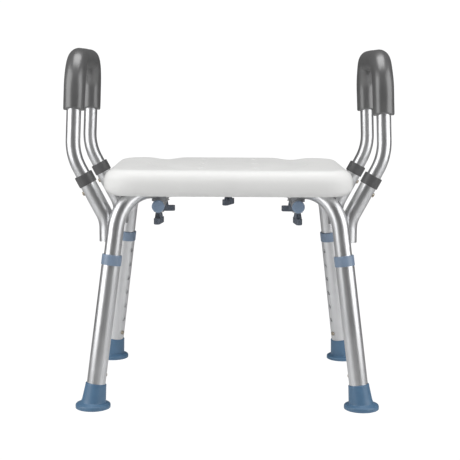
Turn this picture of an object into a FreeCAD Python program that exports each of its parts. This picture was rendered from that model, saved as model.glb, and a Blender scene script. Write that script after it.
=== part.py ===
import FreeCAD, Part
import math
import os
import Sketcher
from FreeCAD import Placement, Rotation, Vector

doc = FreeCAD.newDocument("ShowerStool")
sheet = doc.addObject("Spreadsheet::Sheet", "Sizes")

# Driving sizes in millimetres and degrees. X runs across the seat, Y from front to back, Z up from the floor.
sizes = [
    ("seatWidth", 384, "seat, side to side"),
    ("seatDepth", 300, "seat, front to back"),
    ("seatHeight", 361.5, "floor to the seat's top"),
    ("seatCorner", 50, "corner radius of the seat in plan"),
    ("seatTopRound", 20, "round of the seat's top edge"),
    ("seatRimRound", 16.5, "round of the seat's bottom edge"),
    ("seatSkin", 3, "wall of the hollow seat"),
    ("seatPanel", 22, "seat's top down to the ceiling of its underside recess"),
    ("rimDepth", 18, "depth of the underside recess"),
    ("rimWidth", 24, "rim around the underside recess"),
    ("recessCorner", 15, "corner radius of the recess"),
    ("pillarDiameter", 26, "solid pillars that hold the inserts"),
    ("kissDiameter", 20, "mouth of the dimples that tie the two skins together"),
    ("kissTaper", 14, "taper of the dimples' sides"),
    ("drainDiameter", 5, "drain hole through the skin over each dimple"),
    ("insertDiameter", 14, "threaded inserts in the seat"),
    ("insertDepth", 14, "depth of the inserts"),
    ("shoulderInX", 27.8, "leg axis at the frame's top, in from the seat's side"),
    ("shoulderInY", 25.1, "leg axis at the frame's top, in from the seat's front"),
    ("legLean", 8.92, "lean of the legs from the vertical"),
    ("frameDiameter", 25.4, "leg frame tube"),
    ("tubeWall", 1.5, "wall of every round tube"),
    ("frameBend", 63.5, "centre-line radius of the leg frame's bends"),
    ("frameEnd", 30, "lower end of the leg frame along the leg"),
    ("flatGap", 0.6, "gap between the flattened frame tubes where they cross"),
    ("flatReach", 22, "half length of the flattened stretch"),
    ("flatBlend", 30, "length of the blend from flat to round"),
    ("slideGap", 0.1, "radial running gap of tube in tube"),
    ("lowerStart", 12, "lower end of the sleeve tube along the leg"),
    ("lowerTop", 233.5, "upper end of the sleeve tube along the leg"),
    ("firstHole", 50.4, "lowest height hole along the leg"),
    ("holePitch", 25.4, "spacing of the height holes"),
    ("holeCount", 7, "number of height holes"),
    ("holeDiameter", 7.4, "height holes"),
    ("holeGap", 0.3, "radial gap of a snap button in its hole"),
    ("legCollarHeight", 14, "collar at the top of the sleeve tube"),
    ("legCollarWall", 1, "wall of that collar"),
    ("collarLip", 2, "lip of each collar over the tube's end"),
    ("lipGap", 0.4, "gap between a collar's lip and the tube in it"),
    ("collarRound", 1.2, "round of a collar's upper edge"),
    ("footRim", 53.4, "diameter of the foot's flared rim"),
    ("footRimHeight", 5, "height of the rim's edge"),
    ("footShoulder", 2.4, "round of the rim's upper edge"),
    ("footToe", 0.8, "round of the rim's lower edge"),
    ("footFlareRise", 2.6, "rise of the flare from the rim to the neck"),
    ("footBlend", 4, "fillet between the flare and the neck"),
    ("footNeck", 2.6, "neck's radius over its top's radius"),
    ("footWall", 1.6, "wall of the foot at its top"),
    ("footBand", 4, "straight band at the foot's top"),
    ("footLip", 1, "round of the foot's top edge"),
    ("footHeight", 37.5, "height of the foot along the leg"),
    ("footCup", 40, "diameter of the hollow under the foot"),
    ("footCupDepth", 1.5, "depth of that hollow"),
    ("washerHeight", 1.6, "steel washer under the leg tube"),
    ("washerBore", 8, "hole of that washer"),
    ("crossDiameter", 19, "cross tubes from front to back"),
    ("crossInset", 84, "cross tube axis in from the seat's side"),
    ("crossEnd", 20.8, "cross tube beyond its bolts"),
    ("crossCapLip", 2.4, "face of the cross tube caps"),
    ("capOverhang", 0.3, "cap face beyond the tube's side"),
    ("capRound", 1.4, "round of the cap's face"),
    ("capPlug", 12, "length of a cap's plug"),
    ("capLead", 0.6, "chamfer of a cap's plug"),
    ("saddleGap", 1.5, "saddle washer between cross tube and leg frame"),
    ("saddleDiameter", 22, "saddle washer"),
    ("saddleHeight", 8, "height of a saddle washer, tip to tip"),
    ("boltDiameter", 6, "hand bolt studs"),
    ("boltGap", 0.05, "running gap of a stud in its insert"),
    ("boltSlack", 0.5, "radial gap of a stud in the tubes' holes"),
    ("boltGrip", 10, "length of stud in an insert"),
    ("boltWasher", 1.2, "washer under each hand bolt"),
    ("boltWasherRim", 1.5, "washer beyond the handle's hub"),
    ("boltPlay", 0.3, "gap between handle and washer"),
    ("handleLength", 35, "bar of the T handle"),
    ("handleWidth", 10, "width of the bar"),
    ("handleBar", 9.5, "height of the bar"),
    ("handleHeight", 18.2, "height of the T handle"),
    ("handleHub", 13, "hub diameter of the T handle"),
    ("handleTaper", 1.4, "hub's radius over its top's radius"),
    ("handleCover", 5, "plastic under the end of the stud"),
    ("handleRound", 1.5, "round of the bar's lower edge"),
    ("receiverDiameter", 25.4, "tube that receives an armrest"),
    ("receiverDrop", 111.5, "seat's top down to a receiver's lower end"),
    ("receiverBendDrop", 78.5, "seat's top down to a receiver's bend"),
    ("receiverMouthDrop", 10.5, "seat's top down to a receiver's mouth"),
    ("receiverLean", 28, "lean of a receiver's upper run"),
    ("receiverBend", 50, "centre-line radius of a receiver's bend"),
    ("receiverTurn", 59, "direction from the leg to its receiver, from X"),
    ("weldDrop", 95.5, "seat's top down to the upper end of a weld"),
    ("weldGap", 0.6, "gap that the weld fills"),
    ("weldWidth", 12, "width of a weld across its seam"),
    ("weldLength", 14, "length of a weld"),
    ("mouthCollarHeight", 13.2, "collar on a receiver's mouth"),
    ("mouthCollarWall", 1.6, "wall of that collar"),
    ("armInsert", 56, "length of armrest tube in a receiver"),
    ("armBendRise", 20.5, "seat's top up to the armrest's lower bend"),
    ("armBend", 85, "centre-line radius of that bend"),
    ("armLean", 2.46, "inward lean of the armrest's uprights"),
    ("armTopRise", 166.5, "seat's top up to the armrest's top bar"),
    ("armTopBend", 48, "centre-line radius of the top bends"),
    ("armLead", 8, "straight tube above an armrest's lower bend"),
    ("gripWall", 5.4, "wall of the foam grip"),
    ("gripGap", 0.05, "gap between foam grip and tube"),
    ("gripRise", 83.5, "seat's top up to the foam grip's ends"),
    ("gripEndRound", 3, "round of the grip's ends"),
    ("buttonOut", 2.5, "a snap button's height over its tube"),
    ("buttonBase", 8.6, "flange of a snap button, inside the tube"),
    ("buttonFlange", 1, "thickness of that flange"),
    ("buttonSeat", 0.3, "gap between the flange and the tube's bore"),
    ("buttonRound", 1.6, "round of a button's head"),
    ("buttonDrop", 25, "arm button below its receiver's mouth"),
    ("springThickness", 0.8, "spring strip"),
    ("springWidth", 7, "width of the spring strip"),
    ("springLength", 30, "button down to the spring's bend"),
    ("springTurn", 7, "outer radius of the spring's bend"),
    ("springGap", 0.6, "gap between the spring's end and the button's flange"),
    ("springRest", 0.4, "gap between the spring's back and the tube's bore"),
]

# Sizes that follow from the ones above
derived = [
    ("shoulderX", "seatWidth / 2 - shoulderInX", "leg axis at the frame's top, sideways from the centre"),
    ("shoulderY", "seatDepth / 2 - shoulderInY", "leg axis at the frame's top, forward from the centre"),
    ("shoulderReach", "sqrt(shoulderX ^ 2 + shoulderY ^ 2)", "leg axis at the frame's top, from the centre"),
    ("shoulderZ", "seatHeight - seatPanel - frameDiameter / 2", "height of the frame's top run"),
    ("legSpread", "1 + shoulderZ * tan(legLean * 1 deg) / shoulderReach", "feet's reach over the shoulders'"),
    ("footX", "shoulderX * legSpread", "leg axis at the floor, sideways from the centre"),
    ("footY", "shoulderY * legSpread", "leg axis at the floor, forward from the centre"),
    ("kissPitchX", "(seatWidth - 2 * rimWidth) / 4", "dimple spacing across"),
    ("kissPitchY", "(seatDepth - 2 * rimWidth) / 3", "dimple spacing front to back"),
    ("flatHeight", "(frameDiameter - flatGap) / 2", "height of the frame tube where it is pressed flat"),
    ("flatWidth", "flatHeight + pi / 2 * (frameDiameter - flatHeight)", "width of the flattened tube"),
    ("lowerDiameter", "frameDiameter + 2 * slideGap + 2 * tubeWall", "sleeve tube of the leg"),
    ("footTop", "lowerDiameter + 2 * footWall", "diameter of the foot's top"),
    ("footWaist", "footTop + 2 * footNeck", "diameter of the foot above its rim"),
    ("crossX", "seatWidth / 2 - crossInset", "cross tube axis sideways from the centre"),
    ("crossLength", "2 * (crossX * footY / footX + crossEnd)", "length of a cross tube"),
    ("boltHole", "boltDiameter + 2 * boltSlack", "stud holes in the tubes"),
    ("receiverBottom", "seatHeight - receiverDrop", "lower end of a receiver"),
    ("receiverBendZ", "seatHeight - receiverBendDrop", "height at which a receiver turns outward"),
    ("receiverMouthZ", "seatHeight - receiverMouthDrop", "height of a receiver's mouth"),
    ("weldHeight", "seatHeight - weldDrop", "height of the weld between leg and receiver"),
    ("armDiameter", "receiverDiameter - 2 * tubeWall - 2 * slideGap", "armrest tube"),
    ("armBendZ", "seatHeight + armBendRise", "height at which an armrest turns upright"),
    ("armTopZ", "seatHeight + armTopRise", "height of the armrest's top bar"),
    ("gripDiameter", "armDiameter + 2 * gripWall", "foam grip"),
    ("gripBottomZ", "seatHeight + gripRise", "height of the foam grip's ends"),
    ("buttonDiameter", "holeDiameter - 2 * holeGap", "snap buttons"),
]
rows = [(alias, str(number), note) for alias, number, note in sizes]
rows += [(alias, "=" + formula, note) for alias, formula, note in derived]
for row, (alias, content, note) in enumerate(rows, 1):
    sheet.set(f"A{row}", note)
    sheet.set(f"B{row}", content)
    sheet.setAlias(f"B{row}", alias)
doc.recompute()


def value(expression):
    result = sheet.evalExpression(str(expression))
    return float(getattr(result, "Value", result))


def size(alias):
    return value("Sizes." + alias)


# Sketches

def sketchOn(body, name, plane, offset=None):
    sketch = body.newObject("Sketcher::SketchObject", name)
    support = next(item for item in body.Origin.OriginFeatures if item.Role == plane)
    sketch.AttachmentSupport = (support, [""])
    sketch.MapMode = "FlatFace"
    if offset is not None:
        sketch.AttachmentOffset = offset
    return sketch


def sketchAtHeight(body, name, height):
    sketch = sketchOn(body, name, "XY_Plane", Placement(Vector(0, 0, value(height)), Rotation()))
    sketch.setExpression(".AttachmentOffset.Base.z", str(height))
    return sketch


def bind(sketch, constraint, expression):
    index = sketch.addConstraint(constraint)
    sketch.setExpression(f"Constraints[{index}]", str(expression))


def pin(sketch, geometry, point, x, y):
    # holds one point at a place given by two expressions
    for kind, expression, axis in (("DistanceX", x, -2), ("DistanceY", y, -1)):
        number = value(expression)
        if abs(number) < 1e-9:
            sketch.addConstraint(Sketcher.Constraint("PointOnObject", geometry, point, axis))
        else:
            bind(sketch, Sketcher.Constraint(kind, -1, 1, geometry, point, number), expression)


def circle(sketch, radius, x=0, y=0):
    centre = Vector(value(x), value(y), 0)
    index = sketch.addGeometry(Part.Circle(centre, Vector(0, 0, 1), value(radius)))
    if centre.Length < 1e-9:
        sketch.addConstraint(Sketcher.Constraint("Coincident", index, 3, -1, 1))
    else:
        pin(sketch, index, 3, x, y)
    bind(sketch, Sketcher.Constraint("Radius", index, value(radius)), radius)


def arcBetween(start, corner, end, radius):
    # the arc that rounds a corner, and whether it runs from start to end
    before = (corner - start).normalize()
    after = (end - corner).normalize()
    turn = before.getAngle(after)
    trim = radius * math.tan(turn / 2)
    first = corner - before * trim
    last = corner + after * trim
    centre = corner + (after - before).normalize() * (radius / math.cos(turn / 2))
    leftward = before.cross(after).z > 0
    angles = [math.atan2((p - centre).y, (p - centre).x) for p in (first, last)]
    if not leftward:
        angles.reverse()
    if angles[1] < angles[0]:
        angles[1] += 2 * math.pi
    arc = Part.ArcOfCircle(Part.Circle(centre, Vector(0, 0, 1), radius), *angles)
    return arc, leftward, trim


def outline(sketch, corners, closed=True):
    # straight runs through the corners (x, y, radius), each corner sharp or rounded by a tangent arc
    count = len(corners)
    places = [Vector(value(x), value(y), 0) for x, y, _ in corners]
    arcs = {}
    for i, (x, y, radius) in enumerate(corners):
        if radius is not None and (closed or 0 < i < count - 1):
            arcs[i] = arcBetween(places[i - 1], places[i], places[(i + 1) % count], value(radius))
    lines = []
    for i in range(count if closed else count - 1):
        j = (i + 1) % count
        along = (places[j] - places[i]).normalize()
        start = places[i] + along * (arcs[i][2] if i in arcs else 0)
        end = places[j] - along * (arcs[j][2] if j in arcs else 0)
        lines.append(sketch.addGeometry(Part.LineSegment(start, end)))
    for i, (x, y, radius) in enumerate(corners):
        before = lines[i - 1] if closed or i > 0 else None
        after = lines[i] if closed or i < count - 1 else None
        if i in arcs:
            arc, leftward, _ = arcs[i]
            bend = sketch.addGeometry(arc)
            first, last = (1, 2) if leftward else (2, 1)
            sketch.addConstraint(Sketcher.Constraint("Tangent", before, 2, bend, first))
            sketch.addConstraint(Sketcher.Constraint("Tangent", bend, last, after, 1))
            bind(sketch, Sketcher.Constraint("Radius", bend, value(radius)), radius)
            corner = sketch.addGeometry(Part.Point(places[i]), True)
            pin(sketch, corner, 1, x, y)
            sketch.addConstraint(Sketcher.Constraint("PointOnObject", corner, 1, before))
            sketch.addConstraint(Sketcher.Constraint("PointOnObject", corner, 1, after))
        elif before is None:
            pin(sketch, after, 1, x, y)
        elif after is None:
            pin(sketch, before, 2, x, y)
        else:
            pin(sketch, after, 1, x, y)
            sketch.addConstraint(Sketcher.Constraint("Coincident", before, 2, after, 1))


def roundedRectangle(sketch, width, depth, radius):
    right, back = f"({width}) / 2", f"({depth}) / 2"
    left, front = f"-({width}) / 2", f"-({depth}) / 2"
    outline(sketch, [(x, y, radius) for x, y in ((left, front), (right, front), (right, back), (left, back))])


# Features

def newBody(label):
    body = doc.addObject("PartDesign::Body", label)
    body.Label = label
    return body


def extrude(kind, body, name, sketch, length=None, reverse=False, symmetric=False):
    feature = body.newObject("PartDesign::" + kind, name)
    feature.Profile = sketch
    if length is None:
        feature.Type = "ThroughAll"
    else:
        feature.Length = value(length)
        feature.setExpression("Length", str(length))
    feature.SideType = "Symmetric" if symmetric else "One side"
    feature.Reversed = reverse
    sketch.Visibility = False
    body.Tip = feature
    return feature


def pad(body, name, sketch, length, **options):
    return extrude("Pad", body, name, sketch, length, **options)


def pocket(body, name, sketch, length=None, **options):
    return extrude("Pocket", body, name, sketch, length, **options)


def sweep(kind, body, name, profile, path):
    doc.recompute()
    feature = body.newObject("PartDesign::" + kind, name)
    feature.Profile = profile
    feature.Spine = (path, [f"Edge{n + 1}" for n in range(len(path.Shape.Edges))])
    body.Tip = feature
    return feature


def spin(kind, body, name, sketch, axis="V_Axis"):
    feature = body.newObject("PartDesign::" + kind, name)
    feature.Profile = sketch
    feature.ReferenceAxis = (sketch, [axis])
    feature.Angle = 360
    body.Tip = feature
    return feature


def roundEdges(body, name, heights, radius, longerThan=0):
    # fillets every long enough edge of the body that lies flat at one of the given heights
    doc.recompute()
    base = body.Tip
    names = []
    for n, edge in enumerate(base.Shape.Edges, 1):
        box = edge.BoundBox
        level = any(abs(box.ZMin - z) < 1e-4 and abs(box.ZMax - z) < 1e-4 for z in heights)
        if level and edge.Length > longerThan:
            names.append(f"Edge{n}")
    feature = body.newObject("PartDesign::Fillet", name)
    feature.Base = (base, names)
    feature.Radius = value(radius)
    feature.setExpression("Radius", str(radius))
    body.Tip = feature
    return feature


def tube(label, start, length, outer, inner):
    # a straight ring along the body's own Z axis
    body = newBody(label)
    ring = sketchAtHeight(body, label + "_ring", start)
    circle(ring, outer)
    circle(ring, inner)
    pad(body, label + "_pad", ring, length)
    return body


def sideHole(body, name, centre, direction, radius, depth):
    # a round hole from a point of the tube's axis out through one wall
    turned = Rotation(Vector(0, 0, 1), direction.negative())
    mouth = sketchOn(body, name + "_circle", "XY_Plane", Placement(centre, turned))
    circle(mouth, radius)
    return pocket(body, name, mouth, depth)


def group(label, members):
    compound = doc.addObject("Part::Compound", label)
    compound.Label = label
    compound.Links = members
    return compound


nodes = []


def keep(item, label=None):
    if label:
        item.Label = label
    nodes.append(item)
    return item


# Places that several pieces share

legTurn = math.degrees(math.atan2(size("footY"), size("footX")))
footRadius = math.hypot(size("footX"), size("footY"))
lean = size("legLean")
leanTangent = math.tan(math.radians(lean))
recessCeiling = "(Sizes.seatHeight - Sizes.seatPanel)"
frameTop = recessCeiling
frameZ = "Sizes.shoulderZ"
frameRadius = "(Sizes.frameDiameter / 2)"
frameBore = "(Sizes.frameDiameter / 2 - Sizes.tubeWall)"
crossRadius = "(Sizes.crossDiameter / 2)"
crossZ = f"({frameTop} - Sizes.frameDiameter - Sizes.saddleGap - {crossRadius})"
boltReach = "(Sizes.crossX * sqrt(Sizes.footX ^ 2 + Sizes.footY ^ 2) / Sizes.footX)"
boltX = "Sizes.crossX"
boltY = "(Sizes.crossX * Sizes.footY / Sizes.footX)"
boltPlaces = {
    "front_left": (-1, -1),
    "front_right": (1, -1),
    "rear_left": (-1, 1),
    "rear_right": (1, 1),
}
boltTurns = {"front_left": 80, "front_right": 97, "rear_left": 4, "rear_right": -5, "centre": 68}


def cornerTurn(side, end):
    # direction of a leg seen from above, in degrees from X
    return math.degrees(math.atan2(end * size("footY"), side * size("footX")))


def legPlace(side, end):
    # local Z runs up the leg from the floor, local X points outward
    turn = Rotation(Vector(0, 0, 1), cornerTurn(side, end))
    base = turn.multVec(Vector(footRadius, 0, 0))
    return Placement(base, turn.multiply(Rotation(Vector(0, 1, 0), -lean)))


# Seat

def seatBlock(label, inset):
    # the seat's outer form, drawn in by one wall where inset is given
    body = newBody(label)
    bottom = f"({recessCeiling} - Sizes.rimDepth + {inset})"
    height = f"(Sizes.seatPanel + Sizes.rimDepth - 2 * {inset})"
    plan = sketchAtHeight(body, label + "_plan", bottom)
    width = f"Sizes.seatWidth - 2 * {inset}"
    depth = f"Sizes.seatDepth - 2 * {inset}"
    roundedRectangle(plan, width, depth, f"Sizes.seatCorner - {inset}")
    pad(body, label + "_pad", plan, height)
    top = value(bottom) + value(height)
    roundEdges(body, label + "_top_round", [top], f"Sizes.seatTopRound - {inset}")
    roundEdges(body, label + "_rim_round", [value(bottom)], f"Sizes.seatRimRound - {inset}")
    return body


def cutRecess(body, label, inset):
    # the hollow under the seat, wider by one wall where inset is given
    ceiling = f"({recessCeiling} + {inset})"
    plan = sketchAtHeight(body, label, ceiling)
    width = f"Sizes.seatWidth - 2 * Sizes.rimWidth + 2 * {inset}"
    depth = f"Sizes.seatDepth - 2 * Sizes.rimWidth + 2 * {inset}"
    roundedRectangle(plan, width, depth, f"Sizes.recessCorner + {inset}")
    pocket(body, label + "_cut", plan, "Sizes.rimDepth + 2 * Sizes.seatSkin")


def boltCentres():
    places = [("0", "0")]
    for side, end in boltPlaces.values():
        places.append((f"{side} * {boltX}", f"{end} * {boltY}"))
    return places


kissPlaces = [(x, y) for x in (-1.5, -0.5, 0.5, 1.5) for y in (-1, 0, 1)]
kissPlaces = [(x, y) for x, y in kissPlaces if y == 0 or abs(x) == 0.5]


def kissCone(body, name, inset):
    # conical dimples from the recess ceiling up to the top skin, as steep cuts that taper
    start = f"({recessCeiling})" if inset == "0" else f"({recessCeiling} + {inset})"
    plan = sketchAtHeight(body, name, start)
    radius = f"Sizes.kissDiameter / 2 + {inset}"
    for x, y in kissPlaces:
        circle(plan, radius, f"{x} * Sizes.kissPitchX", f"{y} * Sizes.kissPitchY")
    depth = "Sizes.seatPanel - 2 * Sizes.seatSkin" if inset == "0" else "Sizes.seatPanel"
    cut = pocket(body, name + "_cut", plan, depth, reverse=True)
    cut.TaperAngle = -size("kissTaper")
    cut.setExpression("TaperAngle", "-Sizes.kissTaper")


outer = seatBlock("seat_outer", "0")
cutRecess(outer, "seat_recess", "0")
kissCone(outer, "seat_dimples", "0")
drainPlan = sketchAtHeight(outer, "drain_holes", "Sizes.seatHeight")
for x, y in kissPlaces:
    circle(drainPlan, "Sizes.drainDiameter / 2", f"{x} * Sizes.kissPitchX", f"{y} * Sizes.kissPitchY")
pocket(outer, "drain_holes_cut", drainPlan, "Sizes.seatPanel / 2")
insertPlan = sketchAtHeight(outer, "insert_pockets", recessCeiling)
for x, y in boltCentres():
    circle(insertPlan, "Sizes.insertDiameter / 2", x, y)
pocket(outer, "insert_pockets_cut", insertPlan, "Sizes.insertDepth", reverse=True)

hollow = seatBlock("seat_hollow", "Sizes.seatSkin")
cutRecess(hollow, "hollow_recess", "Sizes.seatSkin")
kissCone(hollow, "hollow_dimples", "Sizes.seatSkin")
pillarPlan = sketchOn(hollow, "pillars", "XY_Plane")
for x, y in boltCentres():
    circle(pillarPlan, "Sizes.pillarDiameter / 2", x, y)
pocket(hollow, "pillars_cut", pillarPlan, "Sizes.seatHeight", reverse=True)

seat = doc.addObject("Part::Cut", "seat_shell")
seat.Base = outer
seat.Tool = hollow
keep(seat, "seat_shell")


def insert(label, x, y):
    body = tube(label, recessCeiling, "Sizes.insertDepth", "Sizes.insertDiameter / 2",
                "Sizes.boltDiameter / 2 + Sizes.boltGap")
    body.Placement = Placement(Vector(value(x), value(y), 0), Rotation())
    return body


inserts = [insert(f"insert_{n}", x, y) for n, (x, y) in enumerate(boltCentres())]
keep(group("seat_inserts", inserts))


# Leg frames: inverted U tubes that cross under the seat, each pressed to half its height at the crossing

def section(sketch, halfWidth, halfHeight, middle, squash):
    # four edges, so that the round and the flattened outline blend edge to edge
    flat = f"({halfWidth} - {halfHeight})" if squash else f"({halfWidth} * sqrt(0.5))"
    rise = halfHeight if squash else f"({halfWidth} * sqrt(0.5))"
    corners = [(f"-{flat}", f"{middle} - {rise}"), (flat, f"{middle} - {rise}"),
               (flat, f"{middle} + {rise}"), (f"-{flat}", f"{middle} + {rise}")]
    places = [Vector(value(x), value(y), 0) for x, y in corners]
    centreZ = value(middle)
    halves = []
    for i, (start, end) in enumerate(zip(places, places[1:] + places[:1])):
        if squash and i % 2 == 0:
            halves.append(sketch.addGeometry(Part.LineSegment(start, end)))
            continue
        radius = value(halfHeight) if squash else value(halfWidth)
        centre = Vector((start.x + end.x) / 2 if squash else 0, centreZ, 0)
        angles = [math.atan2((p - centre).y, (p - centre).x) for p in (start, end)]
        if angles[1] < angles[0]:
            angles[1] += 2 * math.pi
        full = Part.Circle(centre, Vector(0, 0, 1), radius)
        halves.append(sketch.addGeometry(Part.ArcOfCircle(full, *angles)))
    for i, piece in enumerate(halves):
        following = halves[(i + 1) % 4]
        pin(sketch, piece, 1, *corners[i])
        kind = "Tangent" if squash and i % 2 == 0 else "Coincident"
        sketch.addConstraint(Sketcher.Constraint(kind, piece, 2, following, 1))
        if not squash:
            bind(sketch, Sketcher.Constraint("Radius", piece, value(halfWidth)), halfWidth)


def legFrame(label, upper):
    body = newBody(label)
    # the upper tube keeps its top at the round tube's top, the lower one keeps its bottom
    shift = "(Sizes.frameDiameter / 2 - Sizes.flatHeight / 2)"
    flatZ = f"({frameZ} + {shift})" if upper else f"({frameZ} - {shift})"
    flatEnd = "Sizes.flatReach"
    roundEnd = "(Sizes.flatReach + Sizes.flatBlend)"
    startX = "(sqrt(Sizes.footX ^ 2 + Sizes.footY ^ 2) - Sizes.frameEnd * sin(Sizes.legLean * 1 deg))"
    startZ = "(Sizes.frameEnd * cos(Sizes.legLean * 1 deg))"
    cornerX = f"(sqrt(Sizes.footX ^ 2 + Sizes.footY ^ 2) - {frameZ} * tan(Sizes.legLean * 1 deg))"
    for hollowing, inset in ((False, "0"), (True, "Sizes.tubeWall")):
        flatHalves = (f"(Sizes.flatWidth / 2 - {inset})", f"(Sizes.flatHeight / 2 - {inset})", flatZ, True)
        roundHalves = (f"({frameRadius} - {inset})", f"({frameRadius} - {inset})", frameZ, False)
        pipeKind = "SubtractivePipe" if hollowing else "AdditivePipe"
        loftKind = "SubtractiveLoft" if hollowing else "AdditiveLoft"
        word = "bore" if hollowing else "tube"
        middle = sketchOn(body, f"{label}_{word}_flat", "YZ_Plane")
        section(middle, *flatHalves)
        middleKind = "Pocket" if hollowing else "Pad"
        extrude(middleKind, body, f"{label}_{word}_middle", middle, f"2 * {flatEnd}", symmetric=True)
        for side in (1, -1):
            name = f"{label}_{word}_{'right' if side > 0 else 'left'}"
            sections = []
            for at, squash in ((flatEnd, True), (roundEnd, False)):
                where = sketchOn(body, f"{name}_{'flat' if squash else 'round'}", "YZ_Plane",
                                 Placement(Vector(0, 0, side * value(at)), Rotation()))
                where.setExpression(".AttachmentOffset.Base.z", f"{side} * {at}")
                section(where, *(flatHalves if squash else roundHalves))
                sections.append(where)
            loft = body.newObject("PartDesign::" + loftKind, name + "_blend")
            loft.Profile = sections[0]
            loft.Sections = [sections[1]]
            loft.Ruled = True
            body.Tip = loft
            path = sketchOn(body, name + "_path", "XZ_Plane")
            outline(path, [(f"{side} * {startX}", startZ, None),
                           (f"{side} * {cornerX}", frameZ, "Sizes.frameBend"),
                           (f"{side} * {roundEnd}", frameZ, None)], closed=False)
            start = Vector(side * value(startX), 0, value(startZ))
            profile = sketchOn(body, name + "_round_end", "XY_Plane",
                               Placement(start, Rotation(Vector(0, 1, 0), -side * lean)))
            circle(profile, f"{frameRadius} - {inset}")
            sweep(pipeKind, body, name + "_run", profile, path)
    holes = sketchOn(body, label + "_bolt_holes", "XY_Plane")
    for reach in ("0", boltReach, f"-{boltReach}"):
        circle(holes, "Sizes.boltHole / 2", reach, "0")
    pocket(body, label + "_bolt_holes_cut", holes, "Sizes.seatHeight", reverse=True)
    up = Vector(-math.sin(math.radians(lean)), 0, math.cos(math.radians(lean)))
    for side in (1, -1):
        centre = Vector(footRadius, 0, 0) + up * size("firstHole")
        inward = Vector(-math.cos(math.radians(lean)), 0, -math.sin(math.radians(lean)))
        centre.x *= side
        inward.x *= side
        sideHole(body, f"{label}_button_{'right' if side > 0 else 'left'}", centre, inward,
                 "Sizes.holeDiameter / 2", "Sizes.frameDiameter")
    return body


frameA = keep(legFrame("leg_frame_upper", True))
frameA.Placement = Placement(Vector(), Rotation(Vector(0, 0, 1), legTurn))
frameB = keep(legFrame("leg_frame_lower", False))
frameB.Placement = Placement(Vector(), Rotation(Vector(0, 0, 1), -legTurn))


# Cross tubes with their caps, saddles and the hand bolts

def crossTube(label, side):
    body = newBody(label)
    ring = sketchOn(body, label + "_ring", "XZ_Plane")
    circle(ring, crossRadius, 0, crossZ)
    circle(ring, f"{crossRadius} - Sizes.tubeWall", 0, crossZ)
    pad(body, label + "_pad", ring, "Sizes.crossLength", symmetric=True)
    holes = sketchOn(body, label + "_holes", "XY_Plane")
    for end in (1, -1):
        circle(holes, "Sizes.boltHole / 2", 0, f"{end} * {boltY}")
    pocket(body, label + "_holes_cut", holes, "Sizes.seatHeight", reverse=True)
    body.Placement = Placement(Vector(side * size("crossX"), 0, 0), Rotation())
    return body


def crossCap(label, side, end):
    # a plug in the tube with a slightly domed face over its end
    body = newBody(label)
    face = sketchOn(body, label + "_profile", "XZ_Plane")
    plug = f"({crossRadius} - Sizes.tubeWall)"
    outer = f"({crossRadius} + Sizes.capOverhang)"
    outline(face, [("0", "-Sizes.capPlug", None), (f"{plug} - Sizes.capLead", "-Sizes.capPlug", None),
                   (plug, "Sizes.capLead - Sizes.capPlug", None), (plug, "0", None), (outer, "0", None),
                   (outer, "Sizes.crossCapLip", "Sizes.capRound"), ("0", "Sizes.crossCapLip", None)])
    spin("Revolution", body, label + "_turned", face)
    mouth = Vector(side * size("crossX"), end * size("crossLength") / 2, value(crossZ))
    body.Placement = Placement(mouth, Rotation(Vector(0, 0, 1), Vector(0, end, 0)))
    return body


for name, side in (("left", -1), ("right", 1)):
    keep(crossTube("cross_tube_" + name, side))
keep(group("cross_tube_caps", [crossCap("cap_" + name, *place) for name, place in boltPlaces.items()]))


def cutter(label, radius, middle, run):
    # a rod through a point, longer than anything that it cuts
    rod = doc.addObject("Part::Cylinder", label)
    rod.setExpression("Radius", radius)
    rod.setExpression("Height", "3 * Sizes.frameDiameter")
    rod.Placement = Placement(middle - run * size("frameDiameter") * 1.5, Rotation(Vector(0, 0, 1), run))
    return rod


def cutBy(label, base, tools):
    both = doc.addObject("Part::MultiFuse", label + "_tools")
    both.Shapes = tools
    cut = doc.addObject("Part::Cut", label)
    cut.Base = base
    cut.Tool = both
    return cut


def saddle(label, side, end):
    # a plastic spacer, hollowed by the frame tube above it and by the cross tube below it
    centre = Vector(side * value(boltX), end * value(boltY), 0)
    middle = value(crossZ) + value(crossRadius) + size("saddleGap") / 2
    block = doc.addObject("Part::Cylinder", label + "_block")
    block.setExpression("Radius", "Sizes.saddleDiameter / 2")
    block.setExpression("Height", "Sizes.saddleHeight")
    block.Placement = Placement(centre + Vector(0, 0, middle - size("saddleHeight") / 2), Rotation())
    tools = []
    turn = Rotation(Vector(0, 0, 1), cornerTurn(side, end))
    for word, radius, height, run in (
        ("frame", frameRadius, frameZ, turn.multVec(Vector(1, 0, 0))),
        ("cross", crossRadius, crossZ, Vector(0, 1, 0)),
    ):
        axis = Vector(centre.x, centre.y, value(height))
        tools.append(cutter(f"{label}_{word}", radius, axis, run))
    hole = Vector(centre.x, centre.y, middle)
    tools.append(cutter(label + "_hole", "Sizes.boltHole / 2", hole, Vector(0, 0, 1)))
    return cutBy(label, block, tools)


keep(group("saddle_washers", [saddle("saddle_" + name, *place) for name, place in boltPlaces.items()]))


def boltTop(name):
    # height of the face that a hand bolt's washer bears on
    low = value(crossZ) - value(crossRadius)
    return value(frameTop) - size("frameDiameter") if name == "centre" else low


def boltXY(name):
    side, end = boltPlaces.get(name, (0, 0))
    return Vector(side * value(boltX), end * value(boltY), 0)


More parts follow.
